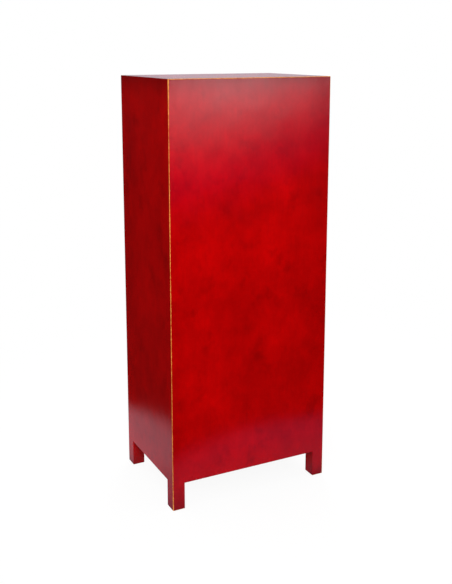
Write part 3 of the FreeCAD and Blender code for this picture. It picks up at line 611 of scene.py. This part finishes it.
def studio_floor():
    """Matt paper: white to the eye, with a faint shadow; in reflections, a pool of light painted into its
    colour round the cabinet, dark beyond.
    """
    material, tree, place = new_material("matt_white_paper_floor")
    away = add(tree, "VectorMath", {0: place, 1: painted_pool_centre}, output=1, operation="DISTANCE")
    fade = add(tree, "MapRange", {0: away, 1: painted_pool_radius, 2: painted_pool_radius + painted_pool_fade},
               interpolation_type="SMOOTHSTEP")
    behind = add(tree, "SeparateXYZ", {0: place}, output=1)
    behind = add(tree, "MapRange", {0: behind, 1: violet_start, 2: violet_end})
    # Painted pool of light, seen only in reflections: pale within the circle, violet towards the back, dark
    # grey beyond
    painted_pool = add(
        tree, "Mix", {0: behind, 6: shade("#A49EAC"), 7: shade("#785E90")}, output=2, data_type="RGBA")
    colour = add(tree, "Mix", {0: fade, 6: painted_pool, 7: shade("#181818")}, output=2, data_type="RGBA")
    matt = add(tree, "BsdfDiffuse", {0: colour})
    white = add(tree, "Emission", {0: (1, 1, 1, 1), 1: 1})
    pale = add(tree, "BsdfDiffuse", {0: (1, 1, 1, 1)})
    shadow = add(tree, "MapRange", {0: away, 1: shadow_inner, 2: shadow_outer, 3: shadow_strength, 4: 0},
                 interpolation_type="SMOOTHSTEP")
    seen = add(tree, "MixShader", {0: shadow, 1: white, 2: pale})
    by_camera = add(tree, "LightPath", {}, output=0)
    finish_material(tree, add(tree, "MixShader", {0: by_camera, 1: matt, 2: seen}))
    mesh = bmesh.new()
    bmesh.ops.create_grid(mesh, x_segments=1, y_segments=1, size=floor_span / 2)
    stage_piece("studio_floor", mesh, material)


def paper_screen(name, centre, width, height, lean, top, colour, brightness, fading, glow):
    """The lower part of a leaning backlit oval, which fades into a faint violet glow towards its rim."""
    material, tree, place = new_material("backlit_paper_" + name)
    offset = add(tree, "VectorMath", {0: place, 1: centre}, operation="SUBTRACT")
    offset = add(tree, "VectorRotate", {"Vector": offset, "Angle": -lean}, rotation_type="Y_AXIS")
    offset = add(tree, "VectorMath", {0: offset, 1: (2 / width, 1, 2 / height)}, operation="MULTIPLY")
    away = add(tree, "VectorMath", {0: offset}, output=1, operation="LENGTH")
    strength = add(tree, "MapRange", {0: away, 1: 0, 2: core_share, 3: 1, 4: 0})
    strength = add(tree, "Math", {0: strength, 1: fading}, operation="POWER")
    strength = add(tree, "Math", {0: strength, 1: brightness}, operation="MULTIPLY")
    core = add(tree, "Emission", {0: shade(colour), 1: strength})
    strength = add(tree, "MapRange", {0: away, 1: 0.95 * core_share, 2: 1, 3: glow, 4: 0})
    rim = add(tree, "Emission", {0: shade("#4A14FF"), 1: strength})
    finish_material(tree, add(tree, "AddShader", {0: core, 1: rim}))
    mesh = bmesh.new()
    bmesh.ops.create_circle(mesh, cap_ends=True, segments=64, radius=1)
    bmesh.ops.rotate(mesh, verts=mesh.verts, matrix=Matrix.Rotation(math.pi / 2, 3, "X"))
    bmesh.ops.scale(mesh, verts=mesh.verts, vec=(width / 2, 1, height / 2))
    bmesh.ops.rotate(mesh, verts=mesh.verts, matrix=Matrix.Rotation(lean, 3, "Y"))
    bmesh.ops.translate(mesh, verts=mesh.verts, vec=centre)
    bmesh.ops.bisect_plane(
        mesh, geom=mesh.verts[:] + mesh.edges[:] + mesh.faces[:], plane_co=(0, 0, top), plane_no=upward,
        clear_outer=True)
    screen = stage_piece(name, mesh, material)
    screen.visible_camera = False
    screen.visible_shadow = False


def studio_world():
    """White to the eye, an even soft light on surfaces, nearly black in reflections."""
    world = bpy.data.worlds.new("studio_world")
    bpy.context.scene.world = world
    world.use_nodes = True
    tree = world.node_tree
    tree.nodes.clear()
    by_camera = add(tree, "LightPath", {}, output=0)
    by_gloss = add(tree, "LightPath", {}, output=3)
    around = add(tree, "Background", {0: (1, 0.99, 0.98, 1), 1: ambient_light})
    dark = add(tree, "Background", {0: (1, 1, 1, 1), 1: dark_room})
    white = add(tree, "Background", {0: (1, 1, 1, 1), 1: 1})
    light = add(tree, "MixShader", {0: by_gloss, 1: around, 2: dark})
    add(tree, "OutputWorld", {0: add(tree, "MixShader", {0: by_camera, 1: light, 2: white})})


def softbox(name, place, target, width, height, colour, strength, mirrored):
    """A flat lamp of even brightness that the camera doesn't see, mirrored in glossy faces or not."""
    lamp = bpy.data.lights.new(name, "AREA")
    lamp.shape = "RECTANGLE"
    lamp.size = width
    lamp.size_y = height
    lamp.color = shade(colour)[:3]
    lamp.energy = strength * math.pi * width * height
    lit = bpy.data.objects.new(name, lamp)
    bpy.context.scene.collection.objects.link(lit)
    lit.location = place
    lit.rotation_mode = "QUATERNION"
    lit.rotation_quaternion = (Vector(target) - Vector(place)).to_track_quat("-Z", "Y")
    lit.visible_camera = False
    lit.visible_glossy = mirrored


studio_floor()
studio_world()
paper_screen("back_screen", centre=(-3.38, 5.6, 2.04), width=7.62, height=3.26, lean=0.38, top=1.5,
             colour="#FCF7F8", brightness=18, fading=3, glow=0.21)
paper_screen("front_screen", centre=(-1.3, -3.6, 1.25), width=5.56, height=3.33, lean=0, top=1.25,
             colour="#FFFAFC", brightness=1.9, fading=1, glow=0.05)
softbox("back_lamp", place=(0.92, 1.72, 1.35), target=(0.1, 0.2, 1.3), width=0.5, height=1.1,
        colour="#FFFFFF", strength=12.6, mirrored=False)
softbox("front_lamp", place=(-1.6, -3.0, 3.0), target=(0, -0.2, 0.8), width=1.2, height=1.2,
        colour="#FFFFFF", strength=12.3, mirrored=False)
softbox("top_card", place=(-2.7, -5.4, 3.05), target=(0, 0, 1.6), width=2.8, height=2.8,
        colour="#F4F2FF", strength=0.65, mirrored=True)

camera = bpy.data.cameras.new("photo_camera")
camera.lens = camera_lens
camera.sensor_width = camera_sensor
camera.shift_y = camera_shift
viewer = bpy.data.objects.new("photo_camera", camera)
bpy.context.scene.collection.objects.link(viewer)
azimuth = math.radians(camera_azimuth)
elevation = math.radians(camera_elevation)
away = Vector((
    math.sin(azimuth) * math.cos(elevation), -math.cos(azimuth) * math.cos(elevation), math.sin(elevation)))
viewer.location = camera_place
viewer.rotation_mode = "QUATERNION"
viewer.rotation_quaternion = (-away).to_track_quat("-Z", "Y")
bpy.context.scene.camera = viewer
bpy.context.scene.view_settings.view_transform = "Standard"
